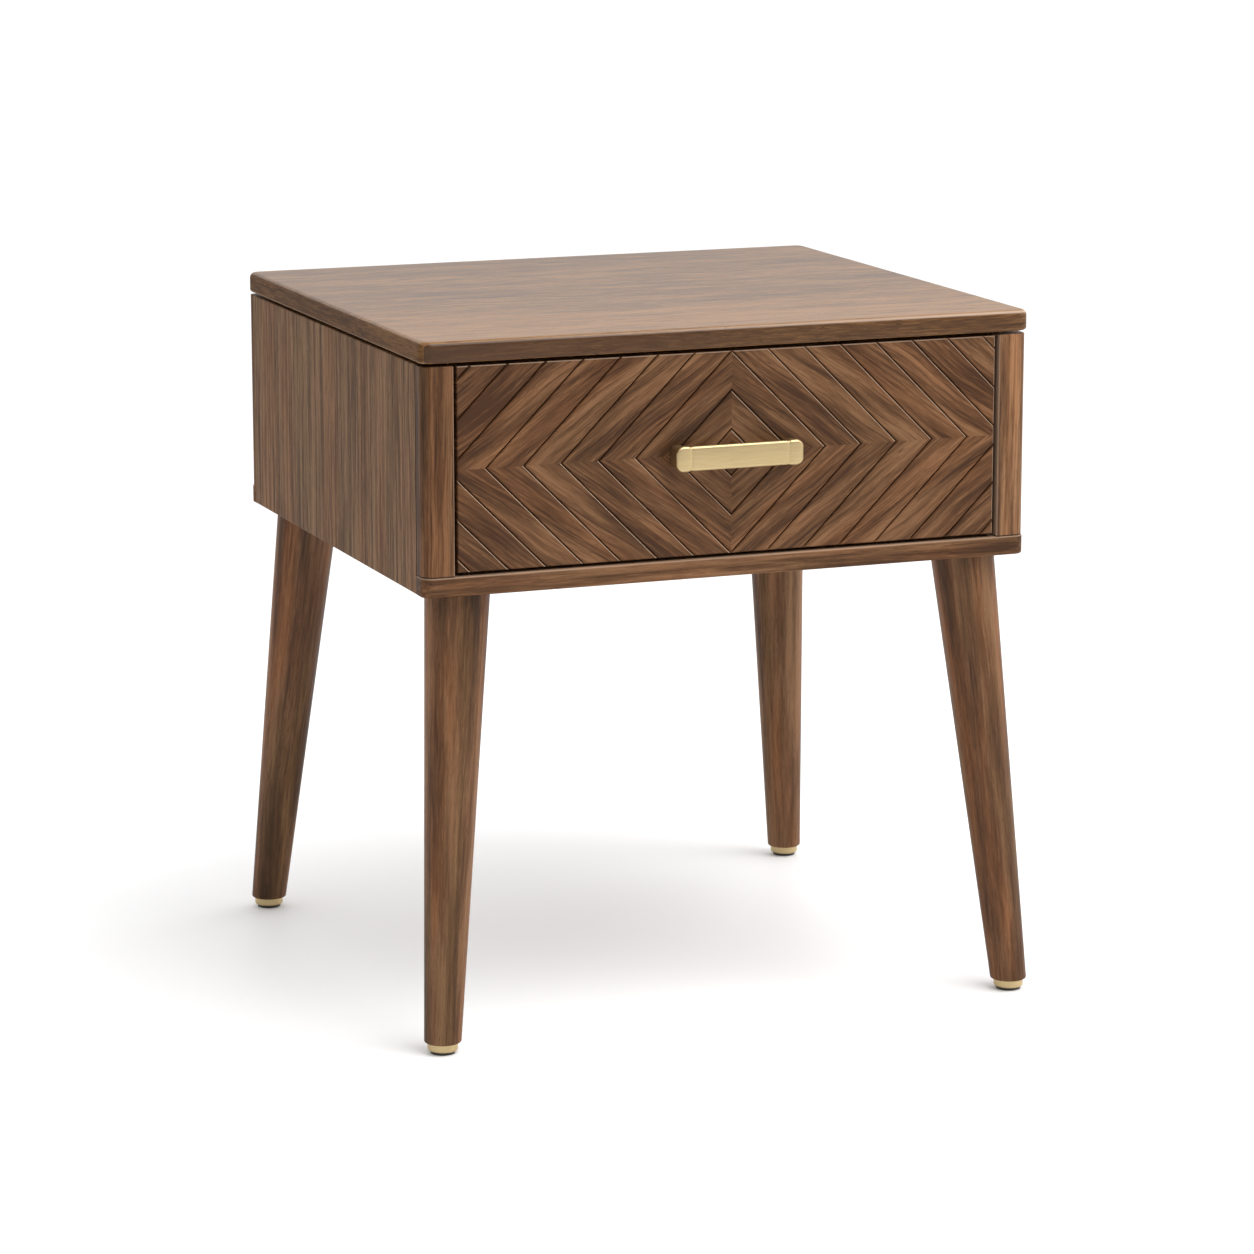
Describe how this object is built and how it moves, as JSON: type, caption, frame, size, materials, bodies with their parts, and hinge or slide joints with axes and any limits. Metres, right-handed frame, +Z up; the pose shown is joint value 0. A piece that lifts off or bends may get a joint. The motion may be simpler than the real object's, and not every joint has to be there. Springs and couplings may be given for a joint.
{
  "type": "side table with drawer",
  "caption": "Low wooden side table with a grooved drawer front, a metal bar pull and splayed turned legs; the drawer slides on ball-bearing runners.",
  "frame": {"origin": "on the floor, midway between the four feet", "axes": "+X to the right seen from the front, +Y to the rear, +Z up; the drawer opens along -Y"},
  "size_m": [0.5066, 0.4812, 0.545],
  "materials": {
    "walnut_top": "satin lacquer",
    "walnut_case": "satin lacquer",
    "walnut_front": "satin lacquer",
    "walnut_leg": "satin lacquer",
    "walnut_back": "matt lacquer",
    "birch": "clear lacquer",
    "birch_ply": "clear lacquer",
    "beech": "bare",
    "satin_brass": "satin brushed",
    "zinc_steel": "zinc plated",
    "cage_nylon": "moulded",
    "black_rubber": "matt",
    "felt": "pressed felt"
  },
  "bodies": {
    "cabinet": {"back_panel": "walnut_back", "back_panel_screws": "zinc_steel", "case_dowels": "beech", "case_floor": "walnut_case", "drawer_stop_blocks": "beech", "drawer_stop_pads": "felt", "frame_screws": "zinc_steel", "front_bottom_rail": "walnut_case", "front_left_foot_pad": "black_rubber", "front_left_glide": "satin_brass", "front_left_leg": "walnut_leg", "front_left_post": "walnut_case", "front_right_foot_pad": "black_rubber", "front_right_glide": "satin_brass", "front_right_leg": "walnut_leg", "front_right_post": "walnut_case", "front_top_stretcher": "beech", "left_case_runner": "zinc_steel", "left_runner_packer": "beech", "left_side_panel": "walnut_case", "left_top_cleat": "beech", "leg_blocks": "beech", "leg_bolts": "zinc_steel", "leg_inserts": "satin_brass", "rear_bottom_rail": "walnut_case", "rear_left_foot_pad": "black_rubber", "rear_left_glide": "satin_brass", "rear_left_leg": "walnut_leg", "rear_left_post": "walnut_case", "rear_right_foot_pad": "black_rubber", "rear_right_glide": "satin_brass", "rear_right_leg": "walnut_leg", "rear_right_post": "walnut_case", "rear_top_stretcher": "beech", "right_case_runner": "zinc_steel", "right_runner_packer": "beech", "right_side_panel": "walnut_case", "right_top_cleat": "beech", "runner_and_packer_screws": "zinc_steel", "top_panel": "walnut_top", "top_screws": "zinc_steel"},
    "drawer": {"drawer_bottom": "birch_ply", "drawer_box_back": "birch", "drawer_box_dowels": "beech", "drawer_box_front": "birch", "drawer_front": "walnut_front", "drawer_front_screws": "zinc_steel", "drawer_left_side": "birch", "drawer_pull": "satin_brass", "drawer_pull_screws": "zinc_steel", "drawer_right_side": "birch", "drawer_runner_screws": "zinc_steel", "left_drawer_runner": "zinc_steel", "right_drawer_runner": "zinc_steel"},
    "runner_middles": {"left_middle_runner": "zinc_steel", "right_middle_runner": "zinc_steel"},
    "outer_cages": {"outer_ball_cages": "cage_nylon"},
    "inner_cages": {"inner_ball_cages": "cage_nylon"}
  },
  "joints": [
    {"name": "drawer_slide", "type": "slide", "parent": "cabinet", "child": "drawer", "axis": [0, -1, 0], "range_m": [0, 0.34]},
    {"name": "runner_middle_slide", "type": "slide", "parent": "cabinet", "child": "runner_middles", "axis": [0, -1, 0], "range_m": [0, 0.17]},
    {"name": "outer_cage_slide", "type": "slide", "parent": "cabinet", "child": "outer_cages", "axis": [0, -1, 0], "range_m": [0, 0.085]},
    {"name": "inner_cage_slide", "type": "slide", "parent": "cabinet", "child": "inner_cages", "axis": [0, -1, 0], "range_m": [0, 0.255]}
  ],
  "couplings": [
    {"joint": "runner_middle_slide", "follows": "drawer_slide", "ratio": 0.5},
    {"joint": "outer_cage_slide", "follows": "drawer_slide", "ratio": 0.25},
    {"joint": "inner_cage_slide", "follows": "drawer_slide", "ratio": 0.75}
  ]
}
